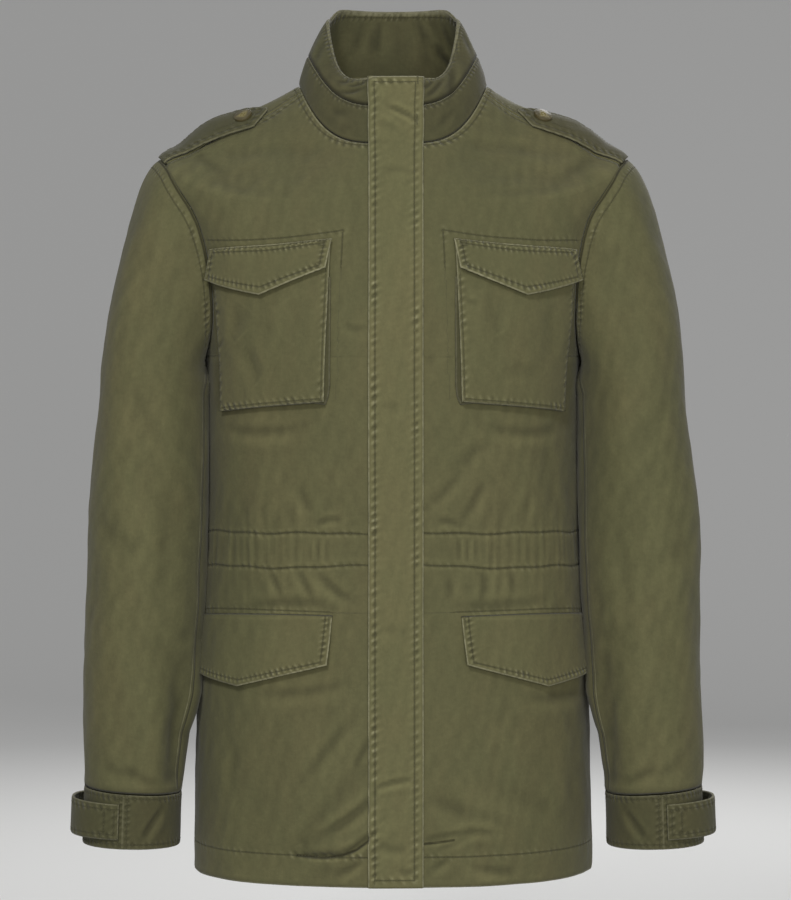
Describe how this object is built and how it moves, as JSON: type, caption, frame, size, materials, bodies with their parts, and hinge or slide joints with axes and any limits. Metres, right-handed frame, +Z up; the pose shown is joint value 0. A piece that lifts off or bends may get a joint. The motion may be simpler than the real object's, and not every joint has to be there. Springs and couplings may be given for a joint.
{
  "type": "safari jacket",
  "caption": "Hollow worn-shape olive cotton field jacket with stand collar, storm flap, bellows chest pockets, pointed flaps, gathered waist, epaulettes and tabbed cuffs.",
  "frame": {"origin": "inside the neck on the centre plane, level with the highest point of the shoulders, where the wearer's shoulders carry the jacket", "axes": "+Z up along the wearer, -Y to the front, +X to the wearer's left"},
  "size_m": [0.6104, 0.2874, 0.837],
  "materials": {
    "twill": "garment-dyed olive cotton twill, matt, with faded seam edges",
    "twill_doubled": "the same twill in two layers, with topstitched, faded edges",
    "button": "olive horn-like resin, half matt",
    "zip_tape": "dark olive woven tape"
  },
  "bodies": {
    "root": {"front_left": "twill", "front_right": "twill", "back": "twill", "collar_stand": "twill", "collar_upper": "twill", "storm_flap": "twill_doubled", "front_zip": "zip_tape", "sleeve_left": "twill", "cuff_left": "twill_doubled", "cuff_tab_left": "twill_doubled", "chest_pocket_left": "twill", "chest_pocket_gusset_left": "twill", "chest_flap_left": "twill_doubled", "lower_flap_left": "twill_doubled", "epaulette_left": "twill_doubled", "epaulette_button_left": "button", "sleeve_right": "twill", "cuff_right": "twill_doubled", "cuff_tab_right": "twill_doubled", "chest_pocket_right": "twill", "chest_pocket_gusset_right": "twill", "chest_flap_right": "twill_doubled", "lower_flap_right": "twill_doubled", "epaulette_right": "twill_doubled", "epaulette_button_right": "button"}
  },
  "joints": []
}
